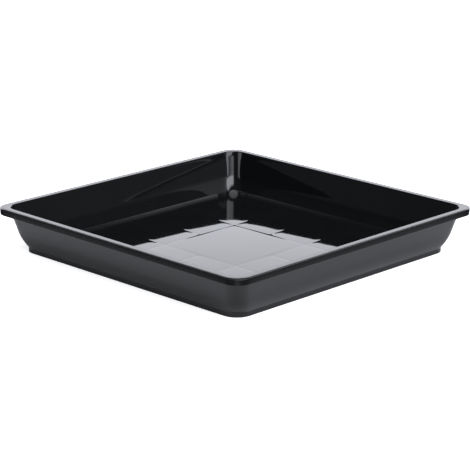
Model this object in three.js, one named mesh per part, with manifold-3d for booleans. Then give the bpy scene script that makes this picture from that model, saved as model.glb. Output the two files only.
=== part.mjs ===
// A square plant saucer: one thin plastic moulding that catches water under a pot.
// Millimetres, +Z up. The origin is the middle of the foot ring's underside, so the saucer
// stands on z = 0. The sides run along X and Y.
import * as THREE from 'three';
import { mergeVertices } from 'three/addons/utils/BufferGeometryUtils.js';
import Module from 'manifold-3d';

// ---- driving dimensions ----
const SIDE = 400;              // outside of the rim, straight across
const HEIGHT = 53.6;           // table to the top of the rim
const WALL = 2;                // thickness of the walls, the floor and the foot ring
const RIM_CORNER = 19;         // radius of the rim's outer corners
const RIM_STRIP = 8.5;         // width of the rim's top, from the outer face to the inner fillet
const RIM_ROLL = 4.6;          // how much of that width rolls off towards the outer face
const RIM_ROLL_DROP = 1.2;     // how far it falls as it rolls off
const RIM_FILLET = 1.5;        // rounding from the strip down into the wall
const SKIRT_DROP = 8;          // height of the turned-down skirt
const SKIRT_WALL = 1.8;        // thickness of the skirt
const SKIRT_DRAFT = 0.3;       // how far the skirt's outside leans in on its way down
const WALL_CORNER = 18.8;      // radius of the wall's outside at the corners
const WALL_LEAN = 0.243;       // inward run per millimetre of fall, on the wall's straight part
const CURVE_HEIGHT = 24;       // the wall starts to curve further in below this height
const CURVE_RATE = 0.011;      // how fast it curves, in millimetres per square millimetre
const FOOT_HEIGHT = 5.6;       // height of the upright foot ring
const FLOOR_RISE = 0.4;        // how far the floor's top stands above the foot ring's crease
const FLOOR_FILLET = 1.2;      // rounding between the wall's inside and the floor
const RIB_WALL = 1.6;          // thickness of a rib under the floor
const RIB_CLEARANCE = 0.8;     // the ribs stop this far above the table
const RIB_OFFSET = 58.5;       // distance of each long rib from the middle
const SINK_WIDTH = 3;          // width of the shallow line that each rib leaves in the floor
const SINK_DEPTH = 0.2;        // depth of that line
const CORNER_STEPS = 9;        // flats in each rounded corner, seen from above
const EDGE_STEPS = 3;          // flats in each small rounding, seen in section
const ROLL_STEPS = 4;          // flats in the rim's roll-off
const CURVE_STEPS = 5;         // flats in the wall's curved part
const HALVINGS = 40;           // steps of the search for the floor fillet's start
const WELD = 1e-4;             // points closer than this are one point

// ---- heights and insets worked out from them ----
// An inset is a distance in from the rim's outer face, along a side's normal.
const FLOOR_TOP = FOOT_HEIGHT + FLOOR_RISE;
const FLOOR_UNDER = FLOOR_TOP - WALL;
const RIM_UNDER = HEIGHT - WALL;
const SKIRT_FOOT = HEIGHT - SKIRT_DROP;
const WALL_INSET = RIM_STRIP + RIM_FILLET - WALL;   // wall's outside, level with the rim's underside
const HALF = SIDE / 2;
const ORIGIN = new THREE.Vector2(0, 0);

// The wall's outside: a straight lean, and below CURVE_HEIGHT a parabola that runs further in.
function wallInset(z) {
  const curve = Math.max(0, CURVE_HEIGHT - z);
  return WALL_INSET + WALL_LEAN * (RIM_UNDER - z) + CURVE_RATE * curve * curve;
}

// The slope of that line: inward run per millimetre of fall.
function wallSlope(z) {
  return WALL_LEAN + 2 * CURVE_RATE * Math.max(0, CURVE_HEIGHT - z);
}

// A point on the wall's inside: the outside's point moved WALL along the wall's own normal.
function innerWallPoint(z) {
  const slope = wallSlope(z);
  const length = Math.hypot(1, slope);
  return { inset: wallInset(z) + WALL / length, z: z + (WALL * slope) / length };
}

// The corner radius on top of the rim: it passes evenly from the outer face's to the fillet's.
function cornerAcrossRim(inset) {
  const filletCorner = WALL_CORNER - WALL + RIM_FILLET;
  return RIM_CORNER + (filletCorner - RIM_CORNER) * (inset / RIM_STRIP);
}

// One level of the moulding: a rounded square at a height, given by its inset and corner radius.
function level(inset, z, radius) {
  return { half: HALF - inset, z, radius };
}

// The moulding's section, from the middle of the underside, out round the foot, up the wall's
// outside, round the rim and down the wall's inside to the floor.
function sectionLevels() {
  const levels = [];
  const footInset = wallInset(FOOT_HEIGHT);
  const innerCorner = WALL_CORNER - WALL;
  const skirtInner = SKIRT_DRAFT + SKIRT_WALL;

  // foot ring
  levels.push(level(footInset + WALL, FLOOR_UNDER, innerCorner));
  levels.push(level(footInset + WALL, 0, innerCorner));
  levels.push(level(footInset, 0, WALL_CORNER));
  levels.push(level(footInset, FOOT_HEIGHT, WALL_CORNER));

  // wall's outside
  for (let i = 1; i <= CURVE_STEPS; i += 1) {
    const z = FOOT_HEIGHT + ((CURVE_HEIGHT - FOOT_HEIGHT) * i) / CURVE_STEPS;
    levels.push(level(wallInset(z), z, WALL_CORNER));
  }
  levels.push(level(WALL_INSET, RIM_UNDER, WALL_CORNER));

  // skirt
  levels.push(level(skirtInner, RIM_UNDER, RIM_CORNER - SKIRT_WALL));
  levels.push(level(skirtInner, SKIRT_FOOT, RIM_CORNER - SKIRT_WALL));
  levels.push(level(SKIRT_DRAFT, SKIRT_FOOT, RIM_CORNER));

  // rim's outer top edge, a quarter of an ellipse
  for (let i = 0; i <= ROLL_STEPS; i += 1) {
    const turn = (Math.PI / 2) * (i / ROLL_STEPS);
    const inset = RIM_ROLL * (1 - Math.cos(turn));
    const z = HEIGHT - RIM_ROLL_DROP * (1 - Math.sin(turn));
    levels.push(level(inset, z, cornerAcrossRim(inset)));
  }

  // fillet from the strip into the wall's inside
  const lean = Math.atan(WALL_LEAN);
  for (let i = 0; i <= EDGE_STEPS; i += 1) {
    const turn = (Math.PI / 2 - lean) * (i / EDGE_STEPS);
    const run = RIM_FILLET * Math.sin(turn);
    const z = HEIGHT - RIM_FILLET * (1 - Math.cos(turn));
    levels.push(level(RIM_STRIP + run, z, cornerAcrossRim(RIM_STRIP) - run));
  }

  // wall's inside, down to where the floor's fillet starts
  const bottom = floorFillet();
  for (let i = CURVE_STEPS; i >= 1; i -= 1) {
    const z = bottom.startHeight + ((CURVE_HEIGHT - bottom.startHeight) * i) / CURVE_STEPS;
    const point = innerWallPoint(z);
    levels.push(level(point.inset, point.z, innerCorner));
  }
  for (let i = 0; i <= EDGE_STEPS; i += 1) {
    const turn = bottom.startAngle * (1 - i / EDGE_STEPS);
    const inset = bottom.inset - FLOOR_FILLET * Math.sin(turn);
    const z = FLOOR_TOP + FLOOR_FILLET * (1 - Math.cos(turn));
    levels.push(level(inset, z, innerCorner));
  }
  return levels;
}

// The fillet between wall and floor: an arc that leaves the wall's inside along its slope and
// lands flat on the floor. Its start is found by halving the range of heights.
function floorFillet() {
  let low = 0;
  let high = CURVE_HEIGHT;
  for (let i = 0; i < HALVINGS; i += 1) {
    const middle = (low + high) / 2;
    const angle = Math.atan2(1, wallSlope(middle));
    const arcTop = FLOOR_TOP + FLOOR_FILLET * (1 - Math.cos(angle));
    if (innerWallPoint(middle).z < arcTop) low = middle;
    else high = middle;
  }
  const startHeight = high;
  const startAngle = Math.atan2(1, wallSlope(startHeight));
  const inset = innerWallPoint(startHeight).inset + FLOOR_FILLET * Math.sin(startAngle);
  return { startHeight, startAngle, inset };
}

// The points of a level, once round from the +X side: four arcs joined by straight sides.
function levelPoints({ half, z, radius }) {
  const centre = half - radius;
  const points = [];
  for (let corner = 0; corner < 4; corner += 1) {
    const quarter = (Math.PI / 2) * corner;
    const middle = quarter + Math.PI / 4;
    const x = Math.sign(Math.cos(middle)) * centre;
    const y = Math.sign(Math.sin(middle)) * centre;
    for (let i = 0; i <= CORNER_STEPS; i += 1) {
      const angle = quarter + (Math.PI / 2) * (i / CORNER_STEPS);
      points.push(x + radius * Math.cos(angle), y + radius * Math.sin(angle), z);
    }
  }
  return points;
}

// A closed skin through the levels, with a flat cap over the first and the last.
function loft(levels) {
  const around = 4 * (CORNER_STEPS + 1);
  const positions = levels.flatMap(levelPoints);
  const index = [];
  for (let k = 0; k + 1 < levels.length; k += 1) {
    for (let i = 0; i < around; i += 1) {
      const next = (i + 1) % around;
      const a = k * around + i;
      const b = k * around + next;
      const c = a + around;
      const d = b + around;
      index.push(a, b, d, a, d, c);
    }
  }
  const last = levels.length - 1;
  const firstCentre = positions.length / 3;
  const lastCentre = firstCentre + 1;
  positions.push(0, 0, levels[0].z, 0, 0, levels[last].z);
  for (let i = 0; i < around; i += 1) {
    const next = (i + 1) % around;
    index.push(firstCentre, next, i);
    index.push(lastCentre, last * around + i, last * around + next);
  }
  const geometry = new THREE.BufferGeometry();
  geometry.setAttribute('position', new THREE.Float32BufferAttribute(positions, 3));
  geometry.setIndex(index);
  return geometry;
}

// ---- ribs and sink lines ----
// Under the floor, three ribs run in from each side. The outer two go right across and the middle
// one ends at the square that they enclose. This is that grid as a plate: its outline runs out and
// back along each rib in turn, and the square in the middle is its hole.
function gridGeometry(lineWidth, reach, bottom, top) {
  const near = RIB_OFFSET + lineWidth / 2;
  const points = [];
  for (let side = 0; side < 4; side += 1) {
    for (const offset of [-RIB_OFFSET, 0, RIB_OFFSET]) {
      const low = offset - lineWidth / 2;
      const high = offset + lineWidth / 2;
      const rib = [[near, low], [reach, low], [reach, high], [near, high]];
      if (offset === RIB_OFFSET) rib.pop();
      const turned = rib.map(([x, y]) => new THREE.Vector2(x, y).rotateAround(ORIGIN, (side * Math.PI) / 2));
      points.push(...turned);
    }
  }
  const plate = new THREE.Shape(points);
  const inside = RIB_OFFSET - lineWidth / 2;
  const corners = [[-1, -1], [-1, 1], [1, 1], [1, -1]];
  plate.holes.push(new THREE.Path(corners.map(([x, y]) => new THREE.Vector2(x * inside, y * inside))));
  const geometry = new THREE.ExtrudeGeometry(plate, { depth: top - bottom, bevelEnabled: false });
  geometry.translate(0, 0, bottom);
  return geometry;
}

// The ribs stand clear of the table, and end inside the floor and the foot ring.
function ribGeometry() {
  const reach = HALF - wallInset(FOOT_HEIGHT) - WALL / 2;
  return gridGeometry(RIB_WALL, reach, RIB_CLEARANCE, FLOOR_UNDER + WALL / 2);
}

// The tool that sinks a line over each rib. It stops short of the floor's fillet.
function sinkGeometry() {
  const reach = HALF - floorFillet().inset - SINK_WIDTH;
  return gridGeometry(SINK_WIDTH, reach, FLOOR_TOP - SINK_DEPTH, FLOOR_TOP + SINK_DEPTH);
}

// ---- joining and cutting ----
const wasm = await Module();
wasm.setup();

function toSolid(geometry) {
  const bare = geometry.clone();
  bare.deleteAttribute('normal');
  bare.deleteAttribute('uv');
  const welded = mergeVertices(bare, WELD);
  return new wasm.Manifold(new wasm.Mesh({
    numProp: 3,
    vertProperties: new Float32Array(welded.attributes.position.array),
    triVerts: new Uint32Array(welded.index.array),
  }));
}

function toGeometry(solid) {
  const mesh = solid.getMesh();
  const geometry = new THREE.BufferGeometry();
  geometry.setAttribute('position', new THREE.BufferAttribute(mesh.vertProperties, 3));
  geometry.setIndex(new THREE.BufferAttribute(mesh.triVerts, 1));
  geometry.computeVertexNormals();
  return geometry;
}

// ---- the saucer ----
function makeTray() {
  const shell = toSolid(loft(sectionLevels()));
  const solid = shell.add(toSolid(ribGeometry())).subtract(toSolid(sinkGeometry()));
  const material = new THREE.MeshStandardMaterial({ color: 0x17181a, roughness: 0.28, metalness: 0 });
  const mesh = new THREE.Mesh(toGeometry(solid), material);
  mesh.name = 'tray';
  return mesh;
}

const saucer = new THREE.Group();
saucer.add(makeTray());

export default saucer;
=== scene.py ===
# %% [markdown]
# # A square plant saucer in black plastic
# This lesson builds the look of a plant saucer: a shallow square tray, moulded in one shot of
# polypropylene, that stands on a low foot ring and catches the water from a pot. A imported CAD
# model already fixes its size and place. The fine surface, the finish, the light and the camera
# are made here, one short cell at a time.

# %% Load the frame
import math

import bmesh
import bpy
import mathutils
import numpy as np
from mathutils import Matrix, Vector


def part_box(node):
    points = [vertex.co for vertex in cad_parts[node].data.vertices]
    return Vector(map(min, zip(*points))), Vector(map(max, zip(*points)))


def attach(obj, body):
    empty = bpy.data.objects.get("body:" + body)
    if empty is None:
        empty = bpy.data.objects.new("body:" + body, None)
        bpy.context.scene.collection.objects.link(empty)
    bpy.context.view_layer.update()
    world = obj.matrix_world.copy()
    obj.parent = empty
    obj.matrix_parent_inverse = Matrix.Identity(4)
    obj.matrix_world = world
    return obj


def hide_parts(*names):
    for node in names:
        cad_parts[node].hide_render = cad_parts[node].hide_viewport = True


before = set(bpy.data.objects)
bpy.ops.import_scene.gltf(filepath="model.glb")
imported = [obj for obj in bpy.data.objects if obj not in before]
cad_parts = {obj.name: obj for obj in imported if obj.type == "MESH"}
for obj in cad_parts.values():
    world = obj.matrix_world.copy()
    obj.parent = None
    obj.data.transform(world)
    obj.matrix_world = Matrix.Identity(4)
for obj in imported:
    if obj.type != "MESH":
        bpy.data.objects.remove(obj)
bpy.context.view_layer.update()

# %% [markdown]
# ## The sizes
# The overall size comes from the frame. The smaller sizes are those that a mould maker would
# write on the section drawing. An *inset* is a distance in from the rim's outer face, measured
# square to a side, so one section drawing serves all four sides.

# %% Sizes of the moulding, in metres
MM = 0.001
tray_low, tray_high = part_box("tray")
HALF = tray_high.x
HEIGHT = tray_high.z

WALL = 2 * MM               # walls, floor and foot ring
RIM_CORNER = 19 * MM        # corner radius of the rim's outer face
RIM_STRIP = 8.5 * MM        # width of the rim's top
RIM_ROLL = 4.6 * MM         # part of that width that rolls off outwards
RIM_ROLL_DROP = 1.2 * MM    # how far it falls
RIM_FILLET = 1.5 * MM       # rounding from the rim's top into the wall
SKIRT_DROP = 8 * MM         # height of the turned-down skirt
SKIRT_WALL = 1.8 * MM       # its thickness
SKIRT_DRAFT = 0.3 * MM      # how far it leans in on its way down
WALL_CORNER = 18.8 * MM     # corner radius of the wall's outside
WALL_LEAN = 0.243           # inward run for each unit of fall
CURVE_HEIGHT = 24 * MM      # the wall curves further in below this
CURVE_RATE = 0.011 / MM     # how fast it curves
FOOT_HEIGHT = 5.6 * MM      # height of the upright foot ring
FLOOR_RISE = 0.4 * MM       # the floor's top stands this far above the crease
FLOOR_FILLET = 1.2 * MM     # rounding between wall and floor
RIB_WALL = 1.6 * MM         # thickness of a rib under the floor
RIB_CLEARANCE = 0.8 * MM    # the ribs stop this far above the table
RIB_OFFSET = 58.5 * MM      # distance of each long rib from the middle
EDGE = 0.4 * MM             # rounding of the small outside edges

FLOOR_TOP = FOOT_HEIGHT + FLOOR_RISE
FLOOR_UNDER = FLOOR_TOP - WALL
RIM_UNDER = HEIGHT - WALL
WALL_INSET = RIM_STRIP + RIM_FILLET - WALL
INNER_CORNER = WALL_CORNER - WALL
print("rim side %.1f mm, height %.1f mm" % (2 * HALF / MM, HEIGHT / MM))

# %% [markdown]
# ## The wall's line
# From the side, the wall is straight above and curves in below. The run inwards is
# `lean x fall + rate x curve^2`, where the fall is counted from the rim's underside and the curve
# from the height at which the bend starts. The inside is the same line moved one wall thickness
# along its own normal, which is how a mould keeps the plastic even.

# %% The wall's outside and inside
def wall_inset(z):
    """inset = inset at the rim + lean * (rim's underside - z) + rate * max(0, bend height - z)^2"""
    return WALL_INSET + WALL_LEAN * (RIM_UNDER - z) + CURVE_RATE * np.maximum(0, CURVE_HEIGHT - z) ** 2


def wall_slope(z):
    """The slope of that line, d(inset)/d(fall): lean + 2 * rate * max(0, bend height - z)"""
    return WALL_LEAN + 2 * CURVE_RATE * np.maximum(0, CURVE_HEIGHT - z)


def inner_wall(z):
    """The point one wall thickness in from the outside's point at z, along the outside's normal"""
    slope = wall_slope(z)
    length = np.hypot(1, slope)
    return wall_inset(z) + WALL / length, z + WALL * slope / length


FOOT_INSET = float(wall_inset(FOOT_HEIGHT))
print("foot ring side %.1f mm" % (2 * (HALF - FOOT_INSET) / MM))

# %% [markdown]
# ## The floor's fillet
# A fillet touches the wall where the wall's slope and the arc's end agree. The arc's centre is one
# radius above the floor, and the wall's height of touch is read off a fine table with `interp`,
# so no equation has to be solved by hand.

# %% Where the fillet leaves the wall
trial = np.linspace(0, CURVE_HEIGHT, 4001)
trial_angle = np.arctan2(1, wall_slope(trial))
gap = inner_wall(trial)[1] - (FLOOR_TOP + FLOOR_FILLET * (1 - np.cos(trial_angle)))
TOUCH = float(np.interp(0, gap, trial))
TOUCH_ANGLE = float(np.arctan2(1, wall_slope(TOUCH)))
FLOOR_INSET = float(inner_wall(TOUCH)[0] + FLOOR_FILLET * np.sin(TOUCH_ANGLE))
print("flat floor side %.1f mm" % (2 * (HALF - FLOOR_INSET) / MM))

# %% [markdown]
# ## The section
# The section is one line that starts inside the foot ring, goes out round the foot, up the wall's
# outside, over the rim and down the inside to the floor. Each stretch is a table of three columns,
# inset, height and corner radius, and a fourth that says how polished the mould is there. Straight
# stretches get a point close to each end, so that the smooth shading of a small rounding doesn't
# spread over the flat beside it.

# %% Stretches of the section
SATIN, SOFT, POLISHED = 0.0, 0.1, 1.0
SUPPORT = 0.35 * MM         # the extra points lie this far from a straight stretch's ends


def straight(start, end, polish, steps=1):
    """Points from start to end, with one more point close to each end: start + t * (end - start)"""
    length = np.hypot(end[0] - start[0], end[1] - start[1])
    near = min(0.25, SUPPORT / max(length, MM))
    t = np.concatenate(([0, near], np.linspace(near, 1 - near, steps + 1)[1:-1], [1 - near, 1]))[:, None]
    rows = np.array(start) + t * (np.array(end) - np.array(start))
    return np.column_stack((rows, np.full(len(rows), polish)))


def bend(centre, reach, first, last, corner, polish, steps=4):
    """Points on an arc or a quarter ellipse: centre + reach * (cos a, sin a), for a from first to last.
    The corner radius shrinks as the inset grows, from the value given at the arc's start."""
    a = np.radians(np.linspace(first, last, steps + 1))
    inset = centre[0] + reach[0] * np.cos(a)
    z = centre[1] + reach[1] * np.sin(a)
    return np.column_stack((inset, z, corner - (inset - inset[0]), np.full(len(a), polish)))


# %% [markdown]
# The foot and the wall's outside come first. The mould's outside is etched to a satin, because it
# hides scuffs and lets the part slide out.

# %% Foot ring and outer wall
CREASE = 0.25 * MM          # the crease above the foot starts and ends this far from its line
foot_in = FOOT_INSET + WALL
foot_top = FOOT_HEIGHT - 0.6 * CREASE
foot = [
    straight((foot_in, FLOOR_UNDER, INNER_CORNER), (foot_in, EDGE, INNER_CORNER), SATIN),
    bend((foot_in - EDGE, EDGE), (EDGE, EDGE), 0, -90, INNER_CORNER, SATIN),
    bend((FOOT_INSET + EDGE, EDGE), (EDGE, EDGE), -90, -180, WALL_CORNER - EDGE, SATIN),
    straight((FOOT_INSET, EDGE, WALL_CORNER), (FOOT_INSET, foot_top, WALL_CORNER), SATIN, 2),
]

z_curve = np.linspace(FOOT_HEIGHT + 3 * CREASE, CURVE_HEIGHT, 14)
z_curve = np.concatenate(([FOOT_HEIGHT + CREASE], z_curve))
outer_curve = np.column_stack((
    wall_inset(z_curve), z_curve, np.full(len(z_curve), WALL_CORNER), np.full(len(z_curve), SATIN)))
under_lip = RIM_UNDER - MM
outer_wall = [
    outer_curve,
    straight((wall_inset(CURVE_HEIGHT), CURVE_HEIGHT, WALL_CORNER),
             (wall_inset(under_lip), under_lip, WALL_CORNER), SATIN, 6)[1:],
]
print("wall stretches:", len(foot) + len(outer_wall))

# %% [markdown]
# The rim is a flat strip whose outer half rolls off like a quarter ellipse, with a short skirt
# turned down from it. The skirt's lower edge has a small rounding on both sides, because fingers
# hook behind it.

# %% Lip, skirt and rim
LIP_FILLET = 0.8 * MM       # run of the small slope between the wall and the rim's underside
SKIRT_FILLET = 0.6 * MM     # the same between the rim's underside and the skirt
skirt_foot = HEIGHT - SKIRT_DROP
skirt_in = SKIRT_DRAFT + SKIRT_WALL
skirt_round = 0.5 * MM
skirt_corner = RIM_CORNER - SKIRT_WALL
lip_inset = WALL_INSET - LIP_FILLET
strip_corner = INNER_CORNER + RIM_FILLET


def across_rim(rows):
    """The corner radius on top of the rim: outer + (inner - outer) * inset / strip width"""
    rows[:, 2] = RIM_CORNER + (strip_corner - RIM_CORNER) * rows[:, 0] / RIM_STRIP
    return rows


skirt_low = skirt_foot + skirt_round
round_both = (skirt_round, skirt_round)
rim = [
    straight((lip_inset, RIM_UNDER, WALL_CORNER),
             (skirt_in + SKIRT_FILLET, RIM_UNDER, skirt_corner), SATIN),
    straight((skirt_in, RIM_UNDER - SKIRT_FILLET, skirt_corner),
             (skirt_in, skirt_low, skirt_corner), SATIN, 2),
    bend((skirt_in - skirt_round, skirt_low), round_both, 0, -90, skirt_corner, SATIN),
    bend((SKIRT_DRAFT + skirt_round, skirt_low), round_both, -90, -180,
         RIM_CORNER - skirt_round, SATIN),
    straight((SKIRT_DRAFT, skirt_low, RIM_CORNER),
             (0, HEIGHT - RIM_ROLL_DROP, RIM_CORNER), SATIN, 3)[1:],
    across_rim(bend((RIM_ROLL, HEIGHT - RIM_ROLL_DROP), (RIM_ROLL, RIM_ROLL_DROP), 180, 90,
                    RIM_CORNER, SOFT, 12)[1:]),
]

lean_angle = math.degrees(math.atan(WALL_LEAN))
rim += [
    across_rim(straight((RIM_ROLL, HEIGHT, RIM_CORNER), (RIM_STRIP, HEIGHT, strip_corner), SOFT, 3)[1:]),
    bend((RIM_STRIP, HEIGHT - RIM_FILLET), (RIM_FILLET, RIM_FILLET), 90, lean_angle,
         strip_corner, POLISHED, 6)[1:],
]
print("rim stretches:", len(rim))

# %% [markdown]
# The inside is polished steel in the mould, so the plastic comes out glossy there. The fillet's arc
# starts where the wall left off and lands flat on the floor.

# %% Inner wall and fillet
z_straight = np.linspace(RIM_UNDER - 0.5 * MM, CURVE_HEIGHT, 7)
z_inner = np.concatenate((z_straight[:-1], np.linspace(CURVE_HEIGHT, TOUCH, 16)))
inner_inset, inner_z = inner_wall(z_inner)
inner_side = np.column_stack((
    inner_inset, inner_z, np.full(len(z_inner), INNER_CORNER), np.full(len(z_inner), POLISHED)))
a = TOUCH_ANGLE * np.linspace(1, 0, 9)[1:]
fillet = np.column_stack((
    FLOOR_INSET - FLOOR_FILLET * np.sin(a), FLOOR_TOP + FLOOR_FILLET * (1 - np.cos(a)),
    np.full(len(a), INNER_CORNER), np.full(len(a), POLISHED)))
section = np.vstack((*foot, *outer_wall, *rim, inner_side, fillet))
print("points in the section:", len(section))

# %% [markdown]
# ## The way round
# Seen from above, every level is a rounded square. A point of it is
# `A x (half - radius) + B + U x radius`: A picks the corner's centre, U the direction on the arc,
# and B a fixed distance along a straight side. With A, B and U held as arrays, a whole level is
# one line of numpy, and all the levels together are one more.

# %% Stations along one side and round a corner
HALF_CORNER = 6
ribs = np.array([-1, 0, 1]) * RIB_OFFSET
rib_edge = RIB_WALL / 2
steps_out = np.array([0, 0.5 * rib_edge, rib_edge - 0.05 * MM, rib_edge + 0.05 * MM])
steps_out = np.concatenate((steps_out, np.array([1.4, 2.1, 2.9, 3.8, 5, 7]) * MM))
near_ribs = (ribs[:, None] + np.concatenate((-steps_out[::-1], steps_out[1:]))).ravel()
open_stretch = np.concatenate((np.linspace(14, 52, 6), np.linspace(73, 155, 12))) * MM
along = np.unique(np.round(np.concatenate((near_ribs, open_stretch, -open_stretch)), 9))
print("stations on a straight side:", len(along))


def way_round():
    """A, B and U for one full turn from the +X side on. Each side is the one before, turned a quarter"""
    arc = np.linspace(0, np.pi / 2, 2 * HALF_CORNER + 1)
    count = len(along)
    a = np.column_stack((np.ones(count + 2), np.concatenate(([-1], np.zeros(count), [1]))))
    b = np.column_stack((np.zeros(count + 2), np.concatenate(([0], along, [0]))))
    u = np.column_stack((np.ones(count + 2), np.zeros(count + 2)))
    inner = arc[1:-1]
    a = np.vstack((a, np.ones((len(inner), 2))))
    b = np.vstack((b, np.zeros((len(inner), 2))))
    u = np.vstack((u, np.column_stack((np.cos(inner), np.sin(inner)))))
    quarter = np.array([[0.0, -1.0], [1.0, 0.0]])
    powers = [np.linalg.matrix_power(quarter, k) for k in range(4)]
    return [np.vstack([part @ power.T for power in powers]) for part in (a, b, u)]


A, B, U = way_round()
AROUND = len(A)
print("points round one level:", AROUND)


def skin(levels):
    """XYZ for every level and every station: A * (half - radius) + B + U * radius, at the level's height"""
    half = HALF - levels[:, 0]
    radius = levels[:, 2]
    xy = A[None] * (half - radius)[:, None, None] + B[None] + U[None] * radius[:, None, None]
    z = np.broadcast_to(levels[:, 1][:, None, None], (len(levels), AROUND, 1))
    return np.concatenate((xy, z), axis=2)


shell = skin(section)
print("shell grid:", shell.shape)

# %% [markdown]
# ## A square grid that ends in a rounded square
# The floor and the underside are sheets, and a sheet wants a plain X-Y grid so that ribs and sink
# lines lie along its rows. In each corner the grid's little square is squeezed onto a quarter disc:
# the larger of the two corner coordinates becomes the distance from the centre, and their ratio
# becomes the angle. The edge of the grid then falls exactly on the last level of the shell.

# %% The sheet
def sheet(inset, radius):
    """X and Y of a grid over the rounded square. In a corner, with u and v from 0 to 1:
    r = radius * max(u, v), angle = 45 * v / u, or 90 - 45 * u / v where v is the larger"""
    centre = HALF - inset - radius
    corner = centre + radius * np.arange(1, HALF_CORNER + 1) / HALF_CORNER
    line = np.concatenate((-corner[::-1], [-centre], along, [centre], corner))
    x, y = np.meshgrid(line, line, indexing="ij")
    u = np.maximum(np.abs(x) - centre, 0) / radius
    v = np.maximum(np.abs(y) - centre, 0) / radius
    in_corner = (u > 0) & (v > 0)
    large = np.maximum(np.maximum(u, v), 1e-9)
    turn = np.pi / 4 * np.minimum(u, v) / large
    turn = np.where(u >= v, turn, np.pi / 2 - turn)
    round_x = np.sign(x) * (centre + radius * large * np.cos(turn))
    round_y = np.sign(y) * (centre + radius * large * np.sin(turn))
    return np.where(in_corner, round_x, x), np.where(in_corner, round_y, y)


floor_x, floor_y = sheet(FLOOR_INSET, INNER_CORNER)
under_x, under_y = sheet(foot_in, INNER_CORNER)
print("floor grid:", floor_x.shape)

# %% [markdown]
# ## Sink lines and soft cells
# Plastic shrinks as it cools. Over each rib there is more of it, so the glossy top sinks into a
# shallow line there, and the thin floor between the ribs arches by a few tenths of a millimetre.
# The whole floor crowns by about one. None of it is easy to feel, but a mirror finish shows it at
# once as bent reflections.

# %% The floor's relief
SINK_DEPTH = 0.045 * MM     # depth of a sink line
SINK_REACH = 2.6 * MM       # distance at which a line has lost most of its depth
CREASE_SLOPE = 0.0075       # how steeply a cell's arch rises from its ribs
CROWN = 1.2 * MM            # how much higher the floor's middle is than its edge
FADE = 12 * MM              # the relief dies away over this distance at the wall
FLOOR_EDGE = HALF - FLOOR_INSET


def ease(t):
    """3 t^2 - 2 t^3, held between 0 and 1"""
    t = np.clip(t, 0, 1)
    return t * t * (3 - 2 * t)


def arch(p, low, high):
    """An arch that rises with the crease slope at two ribs: slope * (p - low)(high - p) / span"""
    span = high - low
    return CREASE_SLOPE * np.maximum((p - low) * (high - p), 0) / span


def cell_arches(p, q):
    """The arches met along p. Between the long ribs there is one wide arch, which turns into two narrow
    ones, with the middle rib between them, once q is past the long rib on its own axis."""
    wide = arch(p, -RIB_OFFSET, RIB_OFFSET)
    pair = arch(np.abs(p), 0, RIB_OFFSET)
    outer = arch(np.abs(p), RIB_OFFSET, FLOOR_EDGE)
    past = ease((np.abs(q) - RIB_OFFSET) / (8 * MM) + 0.5)
    return np.where(np.abs(p) > RIB_OFFSET, outer, wide + past * (pair - wide))


def rib_lines(x, y, profile):
    """The larger of the profiles of all ribs at each point. A long rib counts everywhere, and a short
    middle rib only outside the square that the long ribs enclose."""
    long_x = profile(np.abs(x) - RIB_OFFSET)
    long_y = profile(np.abs(y) - RIB_OFFSET)
    short_x = profile(x) * (np.abs(y) > RIB_OFFSET)
    short_y = profile(y) * (np.abs(x) > RIB_OFFSET)
    return np.maximum(np.maximum(long_x, long_y), np.maximum(short_x, short_y))


def fade_in(x, y):
    """An easing from 0 at the floor's rounded edge. The distance from the edge is the corner's radius
    less the distance from its centre in a corner, and the distance from the nearer side elsewhere"""
    across = np.abs(x) - (FLOOR_EDGE - INNER_CORNER)
    down = np.abs(y) - (FLOOR_EDGE - INNER_CORNER)
    outside = np.hypot(np.maximum(across, 0), np.maximum(down, 0))
    inside = np.minimum(np.maximum(across, down), 0)
    return ease((INNER_CORNER - outside - inside) / FADE)


def floor_crown(x, y):
    """crown * (1 - (x / edge)^2) * (1 - (y / edge)^2), eased in from the edge"""
    return fade_in(x, y) * CROWN * (1 - (x / FLOOR_EDGE) ** 2) * (1 - (y / FLOOR_EDGE) ** 2)


def floor_relief(x, y):
    """crown + (arches along x + arches along y - sink * exp(-(d / reach)^2)), eased in from the edge"""
    arches = cell_arches(x, y) + cell_arches(y, x)
    sink = SINK_DEPTH * rib_lines(x, y, lambda d: np.exp(-(d / SINK_REACH) ** 2))
    return floor_crown(x, y) + fade_in(x, y) * (arches - sink)


floor_z = FLOOR_TOP + floor_relief(floor_x, floor_y)
print("floor's top, mm: %.3f to %.3f" % (floor_z.min() / MM, floor_z.max() / MM))

# %% [markdown]
# ## The underside
# Underneath, the floor has the same crown, so that it stays as thick in the middle as at its edge.
# The same grid drops to the ribs' lower edges. Each rib's side falls between two rows
# of the grid a tenth of a millimetre apart, which leaves the slight draft that a mould needs. In
# the middle is the gate, a small round nub where the plastic came in.

# %% The ribs and the gate
GATE_RADIUS = 3 * MM
GATE_DROP = 0.7 * MM


def under_height(x, y):
    """The floor's underside with the same crown, less the ribs' depth where a rib is, less a small nub"""
    edge = HALF - foot_in
    plain = FLOOR_UNDER + floor_crown(x, y)
    depth = plain - RIB_CLEARANCE
    ribs_here = rib_lines(x, y, lambda d: (np.abs(d) < rib_edge).astype(float))
    inside = np.maximum(np.abs(x), np.abs(y)) < edge - 1e-6
    nub = GATE_DROP * (np.hypot(x, y) < GATE_RADIUS)
    return plain - np.where(inside, np.maximum(depth * ribs_here, nub), 0)


under_z = under_height(under_x, under_y)
print("underside, mm: %.2f to %.2f" % (under_z.min() / MM, under_z.max() / MM))

# %% [markdown]
# ## Putting the skin together
# The shell's grid closes round on itself, and the two sheets close its two ends. Their edge points
# lie on the shell's first and last levels, so merging doubles sews them into one watertight skin.

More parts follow.
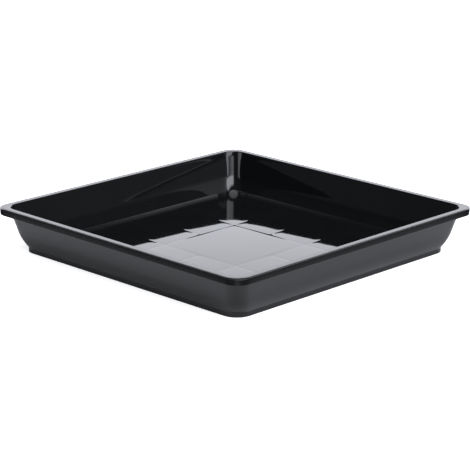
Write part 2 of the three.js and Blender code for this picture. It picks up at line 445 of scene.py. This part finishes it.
# %% Grids to one mesh
def grid_faces(rows, columns, first, closed):
    """Four-cornered faces of a grid whose points are numbered row by row from first"""
    last_column = columns if closed else columns - 1
    row, column = np.meshgrid(np.arange(rows - 1), np.arange(last_column), indexing="ij")
    row, column = row.ravel(), column.ravel()
    after = (column + 1) % columns
    here, above = row * columns, (row + 1) * columns
    return first + np.column_stack((here + column, here + after, above + after, above + column))


def mesh_from(name, points, faces, polish):
    """A mesh from arrays, with doubles merged, smooth faces and a polish value at each point"""
    mesh = bpy.data.meshes.new(name)
    mesh.from_pydata(points.tolist(), [], faces.tolist())
    layer = mesh.attributes.new("polish", "FLOAT", "POINT")
    layer.data.foreach_set("value", polish.astype(np.float32))
    work = bmesh.new()
    work.from_mesh(mesh)
    bmesh.ops.remove_doubles(work, verts=work.verts, dist=1e-6)
    bmesh.ops.recalc_face_normals(work, faces=work.faces)
    work.to_mesh(mesh)
    work.free()
    mesh.shade_smooth()
    return mesh


sheet_count = floor_x.size
floor_points = np.column_stack((floor_x.ravel(), floor_y.ravel(), floor_z.ravel()))
under_points = np.column_stack((under_x.ravel(), under_y.ravel(), under_z.ravel()))
points = np.vstack((shell.reshape(-1, 3), floor_points, under_points))
shell_count = len(section) * AROUND
grid_side = floor_x.shape[0]
faces = np.vstack((
    grid_faces(len(section), AROUND, 0, True),
    grid_faces(grid_side, grid_side, shell_count, False),
    grid_faces(grid_side, grid_side, shell_count + sheet_count, False)))
polish = np.concatenate((
    np.repeat(section[:, 3], AROUND), np.full(sheet_count, POLISHED), np.full(sheet_count, SATIN)))
saucer_mesh = mesh_from("saucer_skin", points, faces, polish)
print("faces:", len(saucer_mesh.polygons))

# %% [markdown]
# The skin becomes an object that stands for the CAD node.

# %% The saucer object
saucer = bpy.data.objects.new("saucer_skin", saucer_mesh)
bpy.context.scene.collection.objects.link(saucer)
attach(saucer, "root")
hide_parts("tray")

check = bmesh.new()
check.from_mesh(saucer_mesh)
open_edges = sum(1 for edge in check.edges if len(edge.link_faces) != 2)
print("open edges:", open_edges, "volume, cm3: %.1f" % (check.calc_volume(signed=True) * 1e6))
check.free()

# %% [markdown]
# ## Black polypropylene
# Polypropylene filled with carbon black reflects almost nothing from inside, so what shows is its
# surface: a clear gloss where the mould was polished and a soft sheen where it was etched. One
# material covers both, because it is one plastic: the polish value painted on the mesh sets the
# roughness. The etched part gets a fine grain, and the polished part a faint waviness.

# %% The plastic
def plastic_material():
    material = bpy.data.materials.new("black_polypropylene")
    material.use_nodes = True
    nodes, links = material.node_tree.nodes, material.node_tree.links
    shader = nodes["Principled BSDF"]
    shader.inputs["IOR"].default_value = 1.49

    place = nodes.new("ShaderNodeTexCoord")
    polish_value = nodes.new("ShaderNodeAttribute")
    polish_value.attribute_name = "polish"

    cloud = nodes.new("ShaderNodeTexNoise")
    cloud.inputs["Scale"].default_value = 22
    cloud.inputs["Detail"].default_value = 4
    links.new(place.outputs["Object"], cloud.inputs["Vector"])

    tone = nodes.new("ShaderNodeValToRGB")
    tone.color_ramp.elements[0].color = (0.0040, 0.0043, 0.0044, 1)
    tone.color_ramp.elements[1].color = (0.0062, 0.0066, 0.0068, 1)
    links.new(cloud.outputs["Fac"], tone.inputs["Fac"])
    links.new(tone.outputs["Color"], shader.inputs["Base Color"])

    sheen_range = nodes.new("ShaderNodeMapRange")
    sheen_range.inputs["To Min"].default_value = 0.19
    sheen_range.inputs["To Max"].default_value = 0.035
    links.new(polish_value.outputs["Fac"], sheen_range.inputs["Value"])
    drift = nodes.new("ShaderNodeMapRange")
    drift.inputs["To Min"].default_value = 0.9
    drift.inputs["To Max"].default_value = 1.12
    links.new(cloud.outputs["Fac"], drift.inputs["Value"])
    roughness = nodes.new("ShaderNodeMath")
    roughness.operation = "MULTIPLY"
    links.new(sheen_range.outputs["Result"], roughness.inputs[0])
    links.new(drift.outputs["Result"], roughness.inputs[1])
    links.new(roughness.outputs["Value"], shader.inputs["Roughness"])

    swell = nodes.new("ShaderNodeTexNoise")
    swell.inputs["Scale"].default_value = 14
    swell.inputs["Detail"].default_value = 1
    links.new(place.outputs["Object"], swell.inputs["Vector"])
    swell_depth = nodes.new("ShaderNodeMapRange")
    swell_depth.inputs["To Min"].default_value = 0.1
    swell_depth.inputs["To Max"].default_value = 0.7
    links.new(polish_value.outputs["Fac"], swell_depth.inputs["Value"])
    swell_bump = nodes.new("ShaderNodeBump")
    swell_bump.inputs["Distance"].default_value = 0.0003
    links.new(swell_depth.outputs["Result"], swell_bump.inputs["Strength"])
    links.new(swell.outputs["Fac"], swell_bump.inputs["Height"])

    grain = nodes.new("ShaderNodeTexNoise")
    grain.inputs["Scale"].default_value = 2400
    grain.inputs["Detail"].default_value = 2
    links.new(place.outputs["Object"], grain.inputs["Vector"])
    grain_depth = nodes.new("ShaderNodeMapRange")
    grain_depth.inputs["To Min"].default_value = 0.16
    grain_depth.inputs["To Max"].default_value = 0.0
    links.new(polish_value.outputs["Fac"], grain_depth.inputs["Value"])
    grain_bump = nodes.new("ShaderNodeBump")
    grain_bump.inputs["Distance"].default_value = 0.00012
    links.new(grain_depth.outputs["Result"], grain_bump.inputs["Strength"])
    links.new(grain.outputs["Fac"], grain_bump.inputs["Height"])
    links.new(swell_bump.outputs["Normal"], grain_bump.inputs["Normal"])
    links.new(grain_bump.outputs["Normal"], shader.inputs["Normal"])
    return material


saucer_mesh.materials.append(plastic_material())
print("materials:", [m.name for m in saucer_mesh.materials])

# %% [markdown]
# ## The table
# The saucer stands on a plain white table. It is matt, so that the saucer's lower walls can pick up
# its light and its soft shadow. In the saucer's own reflection the white ends a short way out, as a
# sheet of white card does in a small dark studio: beyond it the table is painted dark for reflected
# rays alone, a painted shade that keeps the rim's skirt black. The camera sees white all over, with
# a painted glow, seen by the camera alone, that keeps the shadow pale.

# %% The stage
SHEET_EDGE = 0.272      # half the side of the white card
SHEET_BLUR = 0.015


def table_material():
    material = bpy.data.materials.new("white_table")
    material.use_nodes = True
    nodes, links = material.node_tree.nodes, material.node_tree.links
    nodes.clear()

    def maths(operation, first, second=0.0):
        node = nodes.new("ShaderNodeMath")
        node.operation = operation
        for socket, value in zip(node.inputs, (first, second)):
            if isinstance(value, bpy.types.NodeSocket):
                links.new(value, socket)
            else:
                socket.default_value = value
        return node.outputs["Value"]

    place = nodes.new("ShaderNodeTexCoord")
    parts = nodes.new("ShaderNodeSeparateXYZ")
    links.new(place.outputs["Object"], parts.inputs["Vector"])
    far_out = maths("MAXIMUM", maths("ABSOLUTE", parts.outputs["X"]), maths("ABSOLUTE", parts.outputs["Y"]))
    # painted shade: reflected rays see the table white out to the card's edge and painted dark beyond it,
    # in place of an unlit studio
    card_and_painted_shade = nodes.new("ShaderNodeMapRange")
    card_and_painted_shade.interpolation_type = "SMOOTHSTEP"
    card_and_painted_shade.inputs["From Min"].default_value = SHEET_EDGE - SHEET_BLUR
    card_and_painted_shade.inputs["From Max"].default_value = SHEET_EDGE + SHEET_BLUR
    card_and_painted_shade.inputs["To Min"].default_value = 0.86
    card_and_painted_shade.inputs["To Max"].default_value = 0.06
    links.new(far_out, card_and_painted_shade.inputs["Value"])

    ray = nodes.new("ShaderNodeLightPath")
    seen = ray.outputs["Is Camera Ray"]
    white = maths("MAXIMUM", card_and_painted_shade.outputs["Result"], maths("MULTIPLY", seen, 0.86))
    matt = nodes.new("ShaderNodeBsdfDiffuse")
    links.new(white, matt.inputs["Color"])
    # painted glow: the table emits light for camera rays only, which paints its shadow pale
    glow = nodes.new("ShaderNodeEmission")
    links.new(maths("MULTIPLY", seen, 0.7), glow.inputs["Strength"])
    both = nodes.new("ShaderNodeAddShader")
    links.new(matt.outputs["BSDF"], both.inputs[0])
    links.new(glow.outputs["Emission"], both.inputs[1])
    out = nodes.new("ShaderNodeOutputMaterial")
    links.new(both.outputs["Shader"], out.inputs["Surface"])
    return material


table_mesh = bpy.data.meshes.new("table_top")
reach = 12.0
corners = [(-reach, -reach, 0), (reach, -reach, 0), (reach, reach, 0), (-reach, reach, 0)]
table_mesh.from_pydata(corners, [], [(0, 1, 2, 3)])
table_mesh.materials.append(table_material())
table_top = bpy.data.objects.new("table_top", table_mesh)
bpy.context.scene.collection.objects.link(table_top)
print("table is %.0f m square" % (2 * reach))

# %% [markdown]
# ## The camera
# The camera looks at one corner of the saucer from a low angle, with a long lens from over two
# metres away, so that the sides stay almost parallel. It is rolled by a fifth of a degree.

# %% Camera
CAMERA_BEARING = math.radians(44.456)
CAMERA_HEIGHT_ANGLE = math.radians(17.163)
CAMERA_ROLL = math.radians(0.18)
CAMERA_DISTANCE = 2.3208

away = np.array([math.sin(CAMERA_BEARING), -math.cos(CAMERA_BEARING), 0])
right = np.array([math.cos(CAMERA_BEARING), math.sin(CAMERA_BEARING), 0])
up = np.array([0, 0, 1])
place = CAMERA_DISTANCE * (math.cos(CAMERA_HEIGHT_ANGLE) * away + math.sin(CAMERA_HEIGHT_ANGLE) * up)

lens = bpy.data.cameras.new("camera")
lens.lens = 150.88
lens.sensor_width = 36
lens.shift_y = 0.0327
lens.clip_end = 100
camera = bpy.data.objects.new("camera", lens)
camera.location = place
turn_round = mathutils.Matrix.Rotation(CAMERA_BEARING, 3, "Z")
tip_down = mathutils.Matrix.Rotation(math.pi / 2 - CAMERA_HEIGHT_ANGLE, 3, "X")
roll = mathutils.Matrix.Rotation(CAMERA_ROLL, 3, "Z")
camera.rotation_euler = (turn_round @ tip_down @ roll).to_euler()
bpy.context.scene.collection.objects.link(camera)
bpy.context.scene.camera = camera
print("camera at", [round(float(v), 3) for v in place])

# %% [markdown]
# ## The light
# Black gloss has no colour of its own to show, so the light is arranged for what the surfaces
# mirror. The studio is painted on the world as soft-edged panels, each given by its bearing round
# the saucer, counted from the camera's side, and its height above the table, both in degrees.
# A panel painted on the world is infinitely far away, so it looks the same from every side.

# %% Reading a direction
world = bpy.data.worlds.new("studio")
world.use_nodes = True
nodes, links = world.node_tree.nodes, world.node_tree.links


def calculate(operation, *values):
    """One Math node; each value is a number or the output of another node"""
    node = nodes.new("ShaderNodeMath")
    node.operation = operation
    for socket, value in zip(node.inputs, values):
        if isinstance(value, bpy.types.NodeSocket):
            links.new(value, socket)
        else:
            socket.default_value = value
    return node.outputs["Value"]


def along_axis(direction, axis):
    """How far the direction goes along an axis: their dot product"""
    node = nodes.new("ShaderNodeVectorMath")
    node.operation = "DOT_PRODUCT"
    links.new(direction, node.inputs[0])
    node.inputs[1].default_value = tuple(float(v) for v in axis)
    return node.outputs["Value"]


direction = nodes.new("ShaderNodeTexCoord").outputs["Generated"]
height = calculate("DEGREES", calculate("ARCSINE", along_axis(direction, up)))
sideways = along_axis(direction, right)
bearing = calculate("DEGREES", calculate("ARCTAN2", sideways, along_axis(direction, away)))
from_front = calculate("ABSOLUTE", bearing)
print("studio nodes:", len(nodes))

# %% [markdown]
# A panel's edge is a smooth step up and a smooth step down. The panels' light is added to that of a
# dim room.

# %% Panels of light
def between(value, low, high, blur):
    """1 between low and high and 0 outside, with steps as wide as twice the blur"""
    up_step = nodes.new("ShaderNodeMapRange")
    down_step = nodes.new("ShaderNodeMapRange")
    for node, edge, ends in ((up_step, low, (0, 1)), (down_step, high, (1, 0))):
        node.interpolation_type = "SMOOTHSTEP"
        links.new(value, node.inputs["Value"])
        node.inputs["From Min"].default_value = edge - blur
        node.inputs["From Max"].default_value = edge + blur
        node.inputs["To Min"].default_value = ends[0]
        node.inputs["To Max"].default_value = ends[1]
    return calculate("MULTIPLY", up_step.outputs["Result"], down_step.outputs["Result"])


def panel(side, bearings, heights, brightness, blur=(6, 3)):
    """brightness * between(bearing) * between(height)"""
    across = between(side, *bearings, blur[0])
    window = calculate("MULTIPLY", across, between(height, *heights, blur[1]))
    return calculate("MULTIPLY", window, brightness)


ROOM = 0.035
light = ROOM
for patch in (
    panel(from_front, (140, 190), (9, 29), 2.2, blur=(6, 1)),       # wide window behind the saucer
    panel(bearing, (122, 164), (39, 49), 1.8, blur=(8, 3)),         # softbox behind on the right
    panel(bearing, (-164, -122), (39, 49), 0.5, blur=(8, 3)),       # its bounce on the left
    panel(bearing, (14, 66), (3, 18), 3.6, blur=(5, 3)),            # the main softbox's lower part
    panel(bearing, (0, 72), (24, 56), 6.0, blur=(8, 6)),            # main softbox, front right
    panel(bearing, (-76, -42), (2, 24), 1.8, blur=(5, 3)),          # strip of light on the left
    panel(from_front, (-10, 190), (72, 100), 4.0, blur=(6, 6)),     # soft light overhead
    panel(from_front, (78, 108), (-4, 12), 0.08, blur=(8, 5)),      # faint glow of the walls at the sides
):
    light = calculate("ADD", light, patch)

ray = nodes.new("ShaderNodeLightPath")
background = nodes["Background"]
backdrop = calculate("MAXIMUM", light, ray.outputs["Is Camera Ray"])
links.new(backdrop, background.inputs["Strength"])
background.inputs["Color"].default_value = (0.96, 0.98, 1.05, 1)
bpy.context.scene.world = world
bpy.context.scene.view_settings.view_transform = "Standard"
print("studio nodes:", len(nodes))
